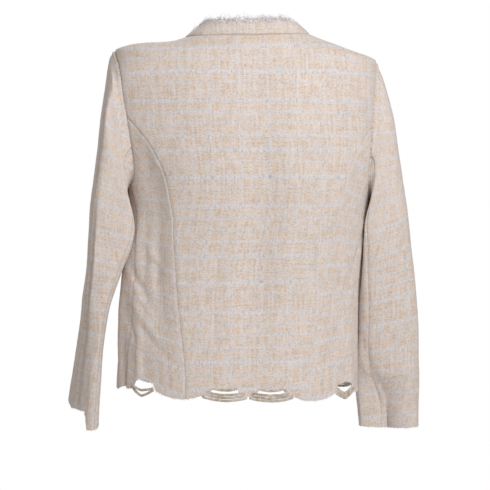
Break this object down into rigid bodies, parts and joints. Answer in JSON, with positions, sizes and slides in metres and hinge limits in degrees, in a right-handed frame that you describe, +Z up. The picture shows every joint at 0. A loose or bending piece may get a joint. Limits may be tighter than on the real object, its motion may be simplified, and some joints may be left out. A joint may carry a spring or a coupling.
{
  "type": "cropped jacket",
  "caption": "Hollow cropped tweed jacket that keeps its worn form, with a stand collar frayed along its edge, shaped back panels, long set-in sleeves and a scalloped cutwork hem.",
  "frame": {"origin": "middle of the neck opening at the level of the collar seam over the shoulders, on the line between the two shoulder seams", "axes": "+Z up, from the hem toward the neck; +Y toward the wearer's back; +X toward the wearer's left"},
  "size_m": [0.5599, 0.252, 0.6457],
  "materials": {
    "tweed": "matte boucle weave",
    "fray": "matte loose threads",
    "cord": "soft twisted yarn"
  },
  "bodies": {
    "root": {"back_centre": "tweed", "back_side_left": "tweed", "back_side_right": "tweed", "front_left": "tweed", "front_right": "tweed", "sleeve_top_left": "tweed", "sleeve_top_right": "tweed", "sleeve_under_left": "tweed", "sleeve_under_right": "tweed", "collar_band": "tweed", "collar_fringe": "fray", "hem_swag_1": "cord", "hem_swag_2": "cord", "hem_swag_3": "cord", "hem_swag_4": "cord", "hem_swag_5": "cord", "hem_swag_6": "cord"}
  },
  "joints": []
}
